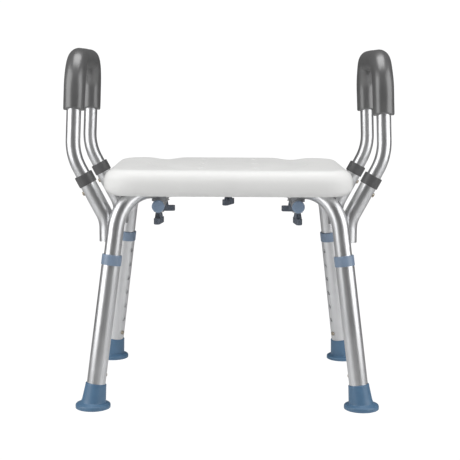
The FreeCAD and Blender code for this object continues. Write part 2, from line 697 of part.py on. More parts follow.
def tHandle(label, name):
    body = newBody(label)
    bar = sketchAtHeight(body, label + "_bar", "-Sizes.handleHeight")
    roundedRectangle(bar, "Sizes.handleLength", "Sizes.handleWidth", "Sizes.handleWidth * 0.49")
    pad(body, label + "_bar_pad", bar, "Sizes.handleBar")
    hub = sketchOn(body, label + "_hub", "XZ_Plane")
    wide, waist = "(Sizes.handleHub / 2)", "(Sizes.handleHub / 2 - Sizes.handleTaper)"
    low = "(Sizes.handleRound * 1.5 - Sizes.handleHeight)"
    outline(hub, [("0", "0", None), (waist, "0", None), (wide, "Sizes.handleBar - Sizes.handleHeight", None),
                  (wide, low, None), ("0", low, None)])
    spin("Revolution", body, label + "_hub_turned", hub)
    roundEdges(body, label + "_round", [-size("handleHeight")], "Sizes.handleRound")
    socket = sketchOn(body, label + "_socket", "XY_Plane")
    circle(socket, "Sizes.boltDiameter / 2")
    pocket(body, label + "_socket_cut", socket, "Sizes.handleHeight - Sizes.handleCover")
    base = boltXY(name) + Vector(0, 0, boltTop(name) - size("boltWasher") - size("boltPlay"))
    body.Placement = Placement(base, Rotation(Vector(0, 0, 1), boltTurns[name]))
    return body


def tStud(label, name):
    body = newBody(label)
    top = boltTop(name) - size("boltWasher") - size("boltPlay")
    rise = value(recessCeiling) + size("boltGrip") - top
    low = "(Sizes.handleCover - Sizes.handleHeight)"
    shank = sketchAtHeight(body, label + "_circle", low)
    circle(shank, "Sizes.boltDiameter / 2")
    pad(body, label + "_pad", shank, f"{rise:.6f} - {low}")
    body.Placement = Placement(boltXY(name) + Vector(0, 0, top), Rotation())
    return body


def boltWasher(label, name):
    body = tube(label, "-Sizes.boltWasher", "Sizes.boltWasher", "Sizes.handleHub / 2 + Sizes.boltWasherRim",
                "Sizes.boltHole / 2")
    body.Placement = Placement(boltXY(name) + Vector(0, 0, boltTop(name)), Rotation())
    return body


for name in boltTurns:
    keep(tHandle("t_handle_" + name, name))
    keep(tStud("t_stud_" + name, name))
keep(group("bolt_washers", [boltWasher("washer_" + name, name) for name in boltTurns]))


# Legs: sleeve tube, collar, foot, washer, snap button and its spring

def lowerTube(label):
    body = tube(label, "Sizes.lowerStart", "Sizes.lowerTop - Sizes.lowerStart", "Sizes.lowerDiameter / 2",
                f"{frameRadius} + Sizes.slideGap")
    hole = sketchOn(body, label + "_hole", "YZ_Plane")
    circle(hole, "Sizes.holeDiameter / 2", 0, "Sizes.firstHole")
    first = pocket(body, label + "_hole_cut", hole, "Sizes.lowerDiameter")
    doc.recompute()
    row = body.newObject("PartDesign::LinearPattern", label + "_holes")
    row.Originals = [first]
    row.Direction = (hole, ["V_Axis"])
    row.Length = value("(Sizes.holeCount - 1) * Sizes.holePitch")
    row.setExpression("Length", "(Sizes.holeCount - 1) * Sizes.holePitch")
    row.Occurrences = int(size("holeCount"))
    row.setExpression("Occurrences", "Sizes.holeCount")
    body.Tip = row
    return body


def collar(label, top, height, tubeRadius, wall, passing):
    # a plastic ring on a tube's end with a lip that guides the tube inside it
    body = newBody(label)
    half = sketchOn(body, label + "_profile", "XZ_Plane")
    outside = f"({tubeRadius} + {wall})"
    inside = f"({passing} + Sizes.lipGap)"
    lip, low = f"({top} + Sizes.collarLip)", f"({top} - {height})"
    outline(half, [(tubeRadius, low, None), (outside, low, "Sizes.collarRound / 2"),
                   (outside, lip, "Sizes.collarRound"), (inside, lip, None), (inside, top, None),
                   (tubeRadius, top, None)])
    spin("Revolution", body, label + "_turned", half)
    return body


def foot(label):
    # flared rubber foot, flat on the floor, with a tapered neck along the leaning leg
    body = newBody(label)
    base = sketchOn(body, label + "_base", "XZ_Plane")
    rim, cup = "(Sizes.footRim / 2)", "(Sizes.footCup / 2)"
    neck, top = "(Sizes.footWaist / 2)", "(Sizes.footTop / 2)"
    depth = "Sizes.footCupDepth"
    flareTop = "(Sizes.footRimHeight + Sizes.footFlareRise)"
    baseTop = f"({flareTop} + Sizes.footBlend)"
    outline(base, [("0", depth, None), (f"{cup} - {depth}", depth, None), (cup, "0", None),
                   (rim, "0", "Sizes.footToe"), (rim, "Sizes.footRimHeight", "Sizes.footShoulder"),
                   (f"{neck} + Sizes.footBlend / 2", flareTop, "Sizes.footBlend"),
                   (f"{neck} - Sizes.footBlend / 4", baseTop, None), ("0", baseTop, None)])
    spin("Revolution", body, label + "_base_turned", base)
    tilt = Placement(Vector(), Rotation(Vector(0, 0, 1), lean))
    cone = sketchOn(body, label + "_cone", "XZ_Plane", tilt)
    outline(cone, [("0", "Sizes.footRimHeight", None), (neck, "Sizes.footRimHeight", None),
                   (top, "Sizes.footHeight - Sizes.footBand", None),
                   (top, "Sizes.footHeight", "Sizes.footLip"), ("0", "Sizes.footHeight", None)])
    spin("Revolution", body, label + "_cone_turned", cone)
    bore = sketchOn(body, label + "_bore", "XZ_Plane", tilt)
    low = "(Sizes.lowerStart - Sizes.washerHeight)"
    wide = "(Sizes.lowerDiameter / 2)"
    high = "(Sizes.footHeight + Sizes.footBand)"
    outline(bore, [("0", low, None), (wide, low, None), (wide, high, None), ("0", high, None)])
    spin("Groove", body, label + "_bore_cut", bore)
    return body


def snapButton(label, bore, outside):
    # a pressed steel button: local X points out through the tube's wall
    body = newBody(label)
    half = sketchOn(body, label + "_profile", "XZ_Plane")
    flange = "(Sizes.buttonBase / 2)"
    low = f"(sqrt(({bore}) ^ 2 - {flange} ^ 2) - Sizes.buttonSeat)"
    back = f"({low} - Sizes.buttonFlange)"
    head = "(Sizes.buttonDiameter / 2)"
    tip = f"({outside} + Sizes.buttonOut)"
    outline(half, [(back, "0", None), (tip, "0", None), (tip, head, "Sizes.buttonRound"), (low, head, None),
                   (low, flange, None), (back, flange, None)])
    spin("Revolution", body, label + "_turned", half, "H_Axis")
    return body


def snapSpring(label, bore):
    # a bent spring strip inside the tube, its free arm ending beside the button's flange
    body = newBody(label)
    plan = sketchOn(body, label + "_outline", "XZ_Plane")
    flange = "(Sizes.buttonBase / 2)"
    right = f"(sqrt(({bore}) ^ 2 - {flange} ^ 2) - Sizes.buttonSeat - Sizes.buttonFlange)"
    left = f"(Sizes.springRest - sqrt(({bore}) ^ 2 - (Sizes.springWidth / 2) ^ 2))"
    thick, top, turnRadius = "Sizes.springThickness", "Sizes.springLength", "Sizes.springTurn"
    low = f"({flange} + Sizes.springGap)"
    innerLeft, innerRight, innerTop = f"({left} + {thick})", f"({right} - {thick})", f"({top} - {thick})"
    innerTurn = f"({turnRadius} - {thick})"
    outline(plan, [(left, f"-{low}", None), (innerLeft, f"-{low}", None), (innerLeft, innerTop, innerTurn),
                   (innerRight, innerTop, innerTurn), (innerRight, low, None), (right, low, None),
                   (right, top, turnRadius), (left, top, turnRadius)])
    pad(body, label + "_pad", plan, "Sizes.springWidth", symmetric=True)
    return body


aboutSelf = Placement(Vector(), Rotation(Vector(0, 0, 1), 180))
legSprings = []
for name, (side, end) in boltPlaces.items():
    place = legPlace(side, end)
    sleeve = keep(lowerTube("lower_leg_tube_" + name))
    ring = keep(collar("leg_collar_" + name, "Sizes.lowerTop", "Sizes.legCollarHeight",
                       "Sizes.lowerDiameter / 2", "Sizes.legCollarWall", frameRadius))
    shoe = keep(foot("foot_" + name))
    disc = keep(tube("foot_washer_" + name, "Sizes.lowerStart - Sizes.washerHeight", "Sizes.washerHeight",
                     "Sizes.lowerDiameter / 2", "Sizes.washerBore / 2"))
    for piece in (sleeve, ring, disc):
        piece.Placement = place
    upright = Rotation(Vector(0, 0, 1), cornerTurn(side, end))
    shoe.Placement = Placement(place.Base, upright)
    atHole = place.multiply(Placement(Vector(0, 0, size("firstHole")), Rotation())).multiply(aboutSelf)
    button = keep(snapButton("leg_button_" + name, frameBore, "(Sizes.lowerDiameter / 2)"))
    button.Placement = atHole
    spring = snapSpring("leg_spring_" + name, frameBore)
    spring.Placement = atHole
    legSprings.append(spring)
keep(group("leg_button_springs", legSprings))


# Receivers: bent tubes welded beside the legs, one at each corner

tilted = math.radians(size("receiverLean"))
offLeg = size("frameDiameter") / 2 + size("receiverDiameter") / 2 + size("weldGap")
legAtWeld = footRadius - size("weldHeight") * leanTangent
legAngle, sideAngle = math.radians(legTurn), math.radians(size("receiverTurn"))
receiverX = legAtWeld * math.cos(legAngle) + offLeg * math.cos(sideAngle)
receiverY = legAtWeld * math.sin(legAngle) - offLeg * math.sin(sideAngle)
mouthX = receiverX + (size("receiverMouthZ") - size("receiverBendZ")) * math.tan(tilted)
armCornerX = receiverX + (size("armBendZ") - size("receiverBendZ")) * math.tan(tilted)
outward = Vector(math.cos(tilted), 0, -math.sin(tilted))
alongMouth = Vector(math.sin(tilted), 0, math.cos(tilted))
receiverBore = "(Sizes.receiverDiameter / 2 - Sizes.tubeWall)"
print("receiver axis", round(receiverX, 2), round(receiverY, 2), "armrest corner", round(armCornerX, 2))


def facing(side, end, x, z, leanOut=0.0):
    # a place on the right or left side, local X pointing away from the seat
    turn = Rotation(Vector(0, 0, 1), 0 if side > 0 else 180)
    return Placement(Vector(side * x, end * receiverY, z), turn.multiply(Rotation(Vector(0, 1, 0), leanOut)))


def receiver(label):
    body = newBody(label)
    path = sketchOn(body, label + "_path", "XZ_Plane")
    rise = "(Sizes.receiverMouthZ - Sizes.receiverBendZ)"
    mouth = f"({rise} * tan(Sizes.receiverLean * 1 deg))"
    outline(path, [("0", "Sizes.receiverBottom", None), ("0", "Sizes.receiverBendZ", "Sizes.receiverBend"),
                   (mouth, "Sizes.receiverMouthZ", None)], closed=False)
    ring = sketchAtHeight(body, label + "_ring", "Sizes.receiverBottom")
    circle(ring, "Sizes.receiverDiameter / 2")
    circle(ring, receiverBore)
    sweep("AdditivePipe", body, label + "_run", ring, path)
    mouthPoint = Vector(mouthX - receiverX, 0, size("receiverMouthZ"))
    sideHole(body, label + "_button_hole", mouthPoint - alongMouth * size("buttonDrop"), outward,
             "Sizes.holeDiameter / 2", "Sizes.receiverDiameter")
    return body


def weld(label, side, end):
    # a bead on each side of the seam between leg and receiver
    turn = Rotation(Vector(0, 0, 1), cornerTurn(side, end))
    legPoint = turn.multVec(Vector(legAtWeld, 0, 0)) + Vector(0, 0, size("weldHeight"))
    sleevePoint = Vector(side * receiverX, end * receiverY, size("weldHeight"))
    bead = doc.addObject("Part::Cylinder", label + "_bead")
    bead.setExpression("Radius", "Sizes.weldWidth / 2")
    bead.setExpression("Height", "Sizes.weldLength")
    seam = (legPoint + sleevePoint) * 0.5
    bead.Placement = Placement(seam - Vector(0, 0, size("weldLength")), Rotation())
    up = turn.multVec(Vector(-math.sin(math.radians(lean)), 0, math.cos(math.radians(lean))))
    legRod = cutter(label + "_leg", frameRadius, legPoint, up)
    sideRod = cutter(label + "_receiver", "Sizes.receiverDiameter / 2", sleevePoint, Vector(0, 0, 1))
    return cutBy(label, bead, [legRod, sideRod])


for name, (side, end) in boltPlaces.items():
    socket = keep(receiver("arm_receiver_" + name))
    socket.Placement = facing(side, end, receiverX, 0)
    ring = keep(collar("receiver_collar_" + name, "0", "Sizes.mouthCollarHeight - Sizes.collarLip",
                       "Sizes.receiverDiameter / 2", "Sizes.mouthCollarWall", "Sizes.armDiameter / 2"))
    ring.Placement = facing(side, end, mouthX, size("receiverMouthZ"), size("receiverLean"))
keep(group("receiver_welds", [weld("weld_" + name, *place) for name, place in boltPlaces.items()]))


# Armrests: removable U tubes with foam grips, snap buttons and springs

armRadius = "(Sizes.armDiameter / 2)"
armBore = "(Sizes.armDiameter / 2 - Sizes.tubeWall)"
fold = "(Sizes.receiverLean + Sizes.armLean)"
archStart = f"(Sizes.armBend * tan({fold} * 0.5 deg) + Sizes.armLead)"
armTop = "((Sizes.armTopZ - Sizes.armBendZ) / cos(Sizes.armLean * 1 deg))"
gripLow = "((Sizes.gripBottomZ - Sizes.armBendZ) / cos(Sizes.armLean * 1 deg))"
slantLength = "((Sizes.armBendZ - Sizes.receiverMouthZ) / cos(Sizes.receiverLean * 1 deg) + Sizes.armInsert)"


def archSketch(body, name, low):
    arch = sketchOn(body, name, "YZ_Plane")
    front, rear = f"-{receiverY:.9f}", f"{receiverY:.9f}"
    outline(arch, [(front, low, None), (front, armTop, "Sizes.armTopBend"),
                   (rear, armTop, "Sizes.armTopBend"), (rear, low, None)], closed=False)
    return arch


def ringAt(body, name, centre, turn, radius, bore):
    ring = sketchOn(body, name, "XY_Plane", Placement(centre, turn))
    circle(ring, radius)
    circle(ring, bore)
    return ring


def armrestTube(label):
    body = newBody(label)
    arch = archSketch(body, label + "_arch", archStart)
    low = Vector(0, -receiverY, value(archStart))
    ring = ringAt(body, label + "_arch_ring", low, Rotation(), armRadius, armBore)
    sweep("AdditivePipe", body, label + "_arch_run", ring, arch)
    bend = math.radians(value(fold))
    down = Vector(-math.sin(bend), 0, -math.cos(bend))
    reach = value(slantLength)
    for word, end in (("front", -1), ("rear", 1)):
        level = Placement(Vector(0, 0, -end * receiverY), Rotation())
        path = sketchOn(body, f"{label}_{word}_path", "XZ_Plane", level)
        far = (f"-{slantLength} * sin({fold} * 1 deg)", f"-{slantLength} * cos({fold} * 1 deg)", None)
        outline(path, [("0", archStart, None), ("0", "0", "Sizes.armBend"), far], closed=False)
        top = Vector(0, end * receiverY, value(archStart))
        ring = ringAt(body, f"{label}_{word}_ring", top, Rotation(), armRadius, armBore)
        sweep("AdditivePipe", body, f"{label}_{word}_run", ring, path)
        centre = down * (reach - size("armInsert") + size("buttonDrop")) + Vector(0, end * receiverY, 0)
        normal = Vector(math.cos(bend), 0, -math.sin(bend))
        sideHole(body, f"{label}_{word}_hole", centre, normal, "Sizes.holeDiameter / 2", "Sizes.armDiameter")
    return body


def armGrip(label):
    body = newBody(label)
    arch = archSketch(body, label + "_arch", gripLow)
    low = Vector(0, -receiverY, value(gripLow))
    bore = f"{armRadius} + Sizes.gripGap"
    ring = ringAt(body, label + "_ring", low, Rotation(), "Sizes.gripDiameter / 2", bore)
    sweep("AdditivePipe", body, label + "_run", ring, arch)
    boreLength = math.pi * (size("armDiameter") + 1)
    roundEdges(body, label + "_ends", [value(gripLow)], "Sizes.gripEndRound", longerThan=boreLength)
    return body


for word, side in (("left", -1), ("right", 1)):
    upright = facing(side, 0, armCornerX, size("armBendZ"), -size("armLean"))
    bar = keep(armrestTube("armrest_tube_" + word))
    bar.Placement = upright
    foam = keep(armGrip("arm_grip_" + word))
    foam.Placement = upright
    springs = []
    for end, corner in ((-1, "front"), (1, "rear")):
        drop = alongMouth * size("buttonDrop")
        at = facing(side, end, mouthX - drop.x, size("receiverMouthZ") - drop.z, size("receiverLean"))
        button = keep(snapButton(f"arm_button_{corner}_{word}", armBore, "(Sizes.receiverDiameter / 2)"))
        button.Placement = at
        spring = snapSpring(f"arm_spring_{corner}_{word}", armBore)
        spring.Placement = at
        springs.append(spring)
    keep(group("arm_button_springs_" + word, springs))


# Checks, then one file for each piece

doc.recompute()
failed = [item.Label for item in doc.Objects if {"Invalid", "Error"} & set(item.State)]
if failed:
    raise RuntimeError("not computed: " + ", ".join(failed))
os.makedirs("parts", exist_ok=True)
for node in nodes:
    shape = node.Shape
    if shape.isNull() or not shape.isValid() or shape.Volume <= 0:
        raise RuntimeError("bad shape: " + node.Label)
for node in nodes:
    node.Shape.exportStep(f"parts/{node.Label}.step")
    print(f"{node.Label:32s} solids {len(node.Shape.Solids)}  volume {node.Shape.Volume:12.1f}")
print("nodes", len(nodes))
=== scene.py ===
import math
import bmesh
import bpy
from mathutils import Matrix, Vector, noise


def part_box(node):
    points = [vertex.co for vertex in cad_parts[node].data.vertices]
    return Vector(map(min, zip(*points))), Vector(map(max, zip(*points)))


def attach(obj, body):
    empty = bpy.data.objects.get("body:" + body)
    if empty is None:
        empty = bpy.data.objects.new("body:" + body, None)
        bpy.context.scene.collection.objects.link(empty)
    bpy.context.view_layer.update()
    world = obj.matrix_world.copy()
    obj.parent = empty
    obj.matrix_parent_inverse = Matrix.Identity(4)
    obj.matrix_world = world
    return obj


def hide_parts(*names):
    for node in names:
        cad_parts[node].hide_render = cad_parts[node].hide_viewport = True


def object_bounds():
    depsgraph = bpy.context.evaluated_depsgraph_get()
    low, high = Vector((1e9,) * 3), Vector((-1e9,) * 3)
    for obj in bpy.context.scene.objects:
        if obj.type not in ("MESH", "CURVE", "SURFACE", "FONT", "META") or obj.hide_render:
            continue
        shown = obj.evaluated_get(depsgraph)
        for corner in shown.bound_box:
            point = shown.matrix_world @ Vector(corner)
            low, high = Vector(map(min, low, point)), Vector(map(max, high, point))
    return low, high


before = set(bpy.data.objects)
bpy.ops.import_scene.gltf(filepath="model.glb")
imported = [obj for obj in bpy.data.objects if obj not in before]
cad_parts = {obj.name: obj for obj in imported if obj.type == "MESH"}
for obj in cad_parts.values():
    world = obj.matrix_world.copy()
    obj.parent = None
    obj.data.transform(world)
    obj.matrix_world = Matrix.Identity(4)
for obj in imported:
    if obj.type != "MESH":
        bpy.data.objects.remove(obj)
cadLow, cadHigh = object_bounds()
scene = bpy.context.scene
corners = {"front_left": (-1, -1), "front_right": (1, -1), "rear_left": (-1, 1), "rear_right": (1, 1)}
print("frame loaded:", len(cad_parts), "parts")


# Mesh and material helpers

def addPiece(name, points, faces, body, material, stands=(), sharp=35):
    mesh = bpy.data.meshes.new(name)
    mesh.from_pydata([tuple(p) for p in points], [], faces)
    mesh.validate()
    bm = bmesh.new()
    bm.from_mesh(mesh)
    bmesh.ops.recalc_face_normals(bm, faces=bm.faces)
    bm.to_mesh(mesh)
    bm.free()
    mesh.shade_smooth()
    mesh.set_sharp_from_angle(angle=math.radians(sharp))
    piece = bpy.data.objects.new(name, mesh)
    scene.collection.objects.link(piece)
    mesh.materials.append(material)
    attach(piece, body)
    if stands:
        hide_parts(*stands)
    return piece


def applyModifiers(piece):
    bpy.context.view_layer.update()
    shaped = bpy.data.meshes.new_from_object(piece.evaluated_get(bpy.context.evaluated_depsgraph_get()))
    piece.modifiers.clear()
    piece.data = shaped


def roundedProfile(outline, steps=6):
    # (radius, height, rounding) corners to a smooth run of (radius, height) points
    run = []
    for i, (r, z, rounding) in enumerate(outline):
        here = Vector((r, z))
        if rounding == 0 or i in (0, len(outline) - 1):
            run.append((r, z))
            continue
        before = (Vector(outline[i - 1][:2]) - here).normalized()
        after = (Vector(outline[i + 1][:2]) - here).normalized()
        half = before.angle(after) / 2
        trim = rounding / math.tan(half)
        centre = here + (before + after).normalized() * (rounding / math.sin(half))
        first, last = here + before * trim - centre, here + after * trim - centre
        turn = first.angle_signed(last)
        for k in range(steps + 1):
            run.append(tuple(centre + Matrix.Rotation(-turn * k / steps, 2) @ first))
    return run


def latheMesh(profile, around):
    # turns (radius, height) points about Z; a radius of 0 closes to a pole
    points, rows, faces = [], [], []
    for r, z in profile:
        if r < 1e-7:
            rows.append([len(points)])
            points.append(Vector((0, 0, z)))
            continue
        rows.append(list(range(len(points), len(points) + around)))
        for k in range(around):
            angle = 2 * math.pi * k / around
            points.append(Vector((r * math.cos(angle), r * math.sin(angle), z)))
    for low, high in zip(rows, rows[1:]):
        for k in range(around):
            a, b = low[k % len(low)], low[(k + 1) % len(low)]
            c, d = high[(k + 1) % len(high)], high[k % len(high)]
            face = []
            for corner in (a, b, c, d):
                if corner not in face:
                    face.append(corner)
            if len(face) > 2:
                faces.append(face)
    return points, faces


def ringFaces(first, second, count):
    # quads between two rings of count points that start at the numbers first and second
    return [(first + k, first + (k + 1) % count, second + (k + 1) % count, second + k) for k in range(count)]


def fanFaces(first, tip, count):
    return [(first + k, first + (k + 1) % count, tip) for k in range(count)]


def newMaterial(name, base, roughness, metallic=0.0, **sockets):
    material = bpy.data.materials.new(name)
    material.use_nodes = True
    shader = material.node_tree.nodes["Principled BSDF"]
    shader.inputs["Base Color"].default_value = (*base, 1)
    shader.inputs["Roughness"].default_value = roughness
    shader.inputs["Metallic"].default_value = metallic
    for socket, number in sockets.items():
        shader.inputs[socket.replace("_", " ")].default_value = number
    return material, shader


def addNode(material, kind, **values):
    node = material.node_tree.nodes.new(kind)
    for key, number in values.items():
        if hasattr(node, key):
            setattr(node, key, number)
        else:
            node.inputs[key].default_value = number
    return node


def join(material, output, target):
    material.node_tree.links.new(output, target)


def objectSpace(material, turn=(0, 0, 0), stretch=(1, 1, 1)):
    place = addNode(material, "ShaderNodeTexCoord")
    mapping = addNode(material, "ShaderNodeMapping", vector_type="TEXTURE")
    mapping.inputs["Rotation"].default_value = turn
    mapping.inputs["Scale"].default_value = stretch
    join(material, place.outputs["Object"], mapping.inputs["Vector"])
    return mapping.outputs["Vector"]


def noiseNode(material, vector, scale, detail=3.0, rough=0.55):
    node = addNode(material, "ShaderNodeTexNoise", Scale=scale, Detail=detail, Roughness=rough)
    join(material, vector, node.inputs["Vector"])
    return node.outputs["Fac"]


def spread(material, factor, low, high, fromLow=0.3, fromHigh=0.7):
    node = addNode(material, "ShaderNodeMapRange")
    for key, number in (("From Min", fromLow), ("From Max", fromHigh), ("To Min", low), ("To Max", high)):
        node.inputs[key].default_value = number
    join(material, factor, node.inputs["Value"])
    return node.outputs["Result"]


def tint(material, factor, dark, light):
    node = addNode(material, "ShaderNodeMix", data_type="RGBA")
    join(material, factor, node.inputs["Factor"])
    for socket in node.inputs:
        if socket.type == "RGBA":
            socket.default_value = (*dark, 1) if socket.name == "A" else (*light, 1)
    return next(o for o in node.outputs if o.type == "RGBA")


def bump(material, height, strength, distance, after=None):
    node = addNode(material, "ShaderNodeBump", Strength=strength, Distance=distance)
    join(material, height, node.inputs["Height"])
    if after is not None:
        join(material, after, node.inputs["Normal"])
    return node.outputs["Normal"]


def shaded(colour, share):
    return tuple(min(1.0, c * share) for c in colour)


def mouldedPlastic(name, colour, roughness, grain, mottle, grainDepth, variation=0.06, **sockets):
    # moulded plastic: soft colour mottling, a fine grain and faint rub marks that change the gloss
    material, shader = newMaterial(name, colour, roughness, **sockets)
    vector = objectSpace(material)
    broad = noiseNode(material, vector, mottle, 2.0)
    fine = noiseNode(material, vector, grain, 2.0, 0.6)
    rub = noiseNode(material, objectSpace(material, (0.3, 0.2, 0.5), (1, 1, 0.2)), mottle * 6, 4.0)
    dark, light = shaded(colour, 1 - variation), shaded(colour, 1 + variation)
    colourOut = tint(material, spread(material, broad, 0, 1), dark, light)
    join(material, colourOut, shader.inputs["Base Color"])
    join(material, spread(material, rub, roughness - 0.05, roughness + 0.07), shader.inputs["Roughness"])
    first = bump(material, fine, 0.35, grainDepth)
    join(material, bump(material, rub, 0.1, grainDepth, first), shader.inputs["Normal"])
    return material


def drawnMetal(name, colour, roughness, turn, streak=420, depth=0.00004, contrast=0.04):
    # drawn and satin anodised tube: fine lines along the tube, clouded gloss and a few handling marks
    material, shader = newMaterial(name, colour, roughness, metallic=1.0)
    along = objectSpace(material, turn, (1, 1, 26))
    lines = noiseNode(material, along, streak, 3.0, 0.65)
    cloud = noiseNode(material, objectSpace(material), 26, 3.0)
    marks = noiseNode(material, objectSpace(material, turn, (1, 1, 3)), 150, 5.0, 0.7)
    dark, light = shaded(colour, 1 - contrast), shaded(colour, 1 + contrast)
    colourOut = tint(material, spread(material, lines, 0, 1), dark, light)
    join(material, colourOut, shader.inputs["Base Color"])
    gloss = addNode(material, "ShaderNodeMath", operation="ADD")
    join(material, spread(material, lines, -0.03, 0.03), gloss.inputs[0])
    join(material, spread(material, cloud, roughness - 0.03, roughness + 0.035), gloss.inputs[1])
    join(material, gloss.outputs[0], shader.inputs["Roughness"])
    first = bump(material, lines, 0.25, depth)
    nicks = spread(material, marks, 0, 1, 0.66, 0.72)
    join(material, bump(material, nicks, 0.06, depth, first), shader.inputs["Normal"])
    return material


# Camera

cameraSettings = {"place": (0, -1.860, 0.511), "down": 0.138, "aside": 0.0016, "roll": 0.0055, "lens": 89.98}


def addCamera(settings):
    down, aside, roll = settings["down"], settings["aside"], settings["roll"]
    ahead = Vector((math.sin(aside) * math.cos(down), math.cos(aside) * math.cos(down), -math.sin(down)))
    right = Vector((math.cos(aside), -math.sin(aside), 0))
    up = right.cross(ahead)
    turned = math.cos(roll) * right + math.sin(roll) * up
    raised = math.cos(roll) * up - math.sin(roll) * right
    camera = bpy.data.objects.new("stoolCamera", bpy.data.cameras.new("stoolCamera"))
    camera.data.lens = settings["lens"]
    camera.data.sensor_width = 36
    axes = Matrix((turned, raised, -ahead)).transposed().to_4x4()
    camera.matrix_world = Matrix.Translation(settings["place"]) @ axes
    scene.collection.objects.link(camera)
    scene.camera = camera


addCamera(cameraSettings)
print("camera placed")


# Studio: grey air, a white backdrop for the camera, soft boxes and a bounce card as floor

studio = {
    "air": 0.12,             # grey that fills the room
    "backdrop": 1.05,        # white seen behind the stool
    "fillOnly": "frontHigh",     # this light isn't mirrored in the tubes and grips
    "floorSize": 8,
    "floorDrop": 0.17,       # below the feet, past the legs' full travel
    "boxes": [
        # name, place, aim, width, height, watts
        ("sideLeft", (-0.95, -0.50, 0.66), (0, 0, 0.36), 0.9, 1.2, 7.9),
        ("sideRight", (0.95, -0.50, 0.66), (0, 0, 0.36), 0.9, 1.2, 7.3),
        ("frontHigh", (0.0, -1.80, 1.55), (0, 0, 0.30), 1.8, 1.0, 6.0),
        ("overhead", (0.0, 0.0, 2.0), (0, 0, 0.36), 1.4, 1.2, 19),
    ],
}


def addStudio(settings):
    world = bpy.data.worlds.new("studioAir")
    scene.world = world
    world.use_nodes = True
    tree = world.node_tree
    tree.nodes.clear()
    out = tree.nodes.new("ShaderNodeOutputWorld")
    air, white = tree.nodes.new("ShaderNodeBackground"), tree.nodes.new("ShaderNodeBackground")
    air.inputs["Color"].default_value = (settings["air"],) * 3 + (1,)
    white.inputs["Color"].default_value = (1, 1, 1, 1)
    white.inputs["Strength"].default_value = settings["backdrop"]
    seen = tree.nodes.new("ShaderNodeLightPath")
    mix = tree.nodes.new("ShaderNodeMixShader")
    tree.links.new(seen.outputs["Is Camera Ray"], mix.inputs[0])
    tree.links.new(air.outputs[0], mix.inputs[1])
    tree.links.new(white.outputs[0], mix.inputs[2])
    tree.links.new(mix.outputs[0], out.inputs["Surface"])
    for name, place, aim, width, height, watts in settings["boxes"]:
        light = bpy.data.lights.new(name, "AREA")
        light.shape = "RECTANGLE"
        light.size, light.size_y, light.energy = width, height, watts
        holder = bpy.data.objects.new(name, light)
        holder.visible_glossy = name != settings["fillOnly"]
        holder.location = place
        holder.rotation_euler = (Vector(aim) - Vector(place)).to_track_quat("-Z", "Y").to_euler()
        scene.collection.objects.link(holder)


def addFloor(size, drop):
    # a pale bounce card, low enough for the legs at full reach and hidden from the camera
    material = newMaterial("paleFloor", (0.85, 0.85, 0.85), 0.8)[0]
    half, level = size / 2, cadLow.z - drop
    mesh = bpy.data.meshes.new("floor")
    rim = [(-half, -half, level), (half, -half, level), (half, half, level), (-half, half, level)]
    mesh.from_pydata(rim, [], [(0, 1, 2, 3)])
    mesh.materials.append(material)
    floor = bpy.data.objects.new("floor", mesh)
    floor.visible_camera = False
    scene.collection.objects.link(floor)


scene.view_settings.view_transform = "Standard"
addStudio(studio)
addFloor(studio["floorSize"], studio["floorDrop"])
print("studio lit")


# Finishes

legLean = math.radians(8.92)
aluminium = (0.70, 0.705, 0.715)
upright = (0, 0, 0)
finishes = {
    "seatWhite": mouldedPlastic("seatWhite", (0.80, 0.80, 0.79), 0.48, 1300, 18, 0.00012, 0.015,
                                Specular_IOR_Level=0.3),
    "insertBrass": drawnMetal("insertBrass", (0.72, 0.50, 0.20), 0.32, upright, 900),
    "capSlate": mouldedPlastic("capSlate", (0.27, 0.36, 0.49), 0.26, 1500, 60, 0.00006),
    "collarSlate": mouldedPlastic("collarSlate", (0.215, 0.285, 0.39), 0.30, 1500, 60, 0.00006),
    "footSlate": mouldedPlastic("footSlate", (0.085, 0.175, 0.29), 0.40, 1100, 45, 0.0001,
                                Specular_IOR_Level=0.6),
    "handleSlate": mouldedPlastic("handleSlate", (0.115, 0.135, 0.17), 0.32, 1300, 60, 0.00008),
    "saddleGrey": mouldedPlastic("saddleGrey", (0.30, 0.31, 0.33), 0.5, 1300, 60, 0.00008),
    "mouthGrey": mouldedPlastic("mouthGrey", (0.085, 0.085, 0.087), 0.38, 1300, 60, 0.00008),
    "frontSteel": drawnMetal("frontSteel", (0.60, 0.60, 0.60), 0.33, upright, 800),
    "springSteel": drawnMetal("springSteel", (0.50, 0.49, 0.47), 0.30, upright, 900),
    "buttonSteel": drawnMetal("buttonSteel", (0.42, 0.37, 0.30), 0.30, upright, 900),
    "uprightTube": drawnMetal("uprightTube", aluminium, 0.35, upright),
    "crossTube": drawnMetal("crossTube", aluminium, 0.35, (math.pi / 2, 0, 0)),
}
for cornerName in corners:
    footLow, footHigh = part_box("foot_" + cornerName)
    turn = math.atan2(footLow.y + footHigh.y, footLow.x + footHigh.x)
    alongLeg = (Matrix.Rotation(turn, 3, "Z") @ Matrix.Rotation(-legLean, 3, "Y")).to_euler()
    finishes["leg_" + cornerName] = drawnMetal("sleeveTube_" + cornerName, aluminium, 0.34, tuple(alongLeg))


def weldBeadFinish():
    # rippled weld: waves across the seam and a clouded gloss
    material, shader = newMaterial("weldBead", (0.66, 0.665, 0.67), 0.36, metallic=1.0)
    wave = addNode(material, "ShaderNodeTexWave", Scale=260.0, Distortion=1.6, Detail=1.0)
    wave.bands_direction = "Z"
    join(material, objectSpace(material), wave.inputs["Vector"])
    cloud = noiseNode(material, objectSpace(material), 300)
    join(material, bump(material, wave.outputs["Fac"], 0.7, 0.0004), shader.inputs["Normal"])
    join(material, spread(material, cloud, 0.28, 0.46), shader.inputs["Roughness"])
    join(material, tint(material, cloud, (0.55, 0.55, 0.56), (0.74, 0.74, 0.75)), shader.inputs["Base Color"])
    return material


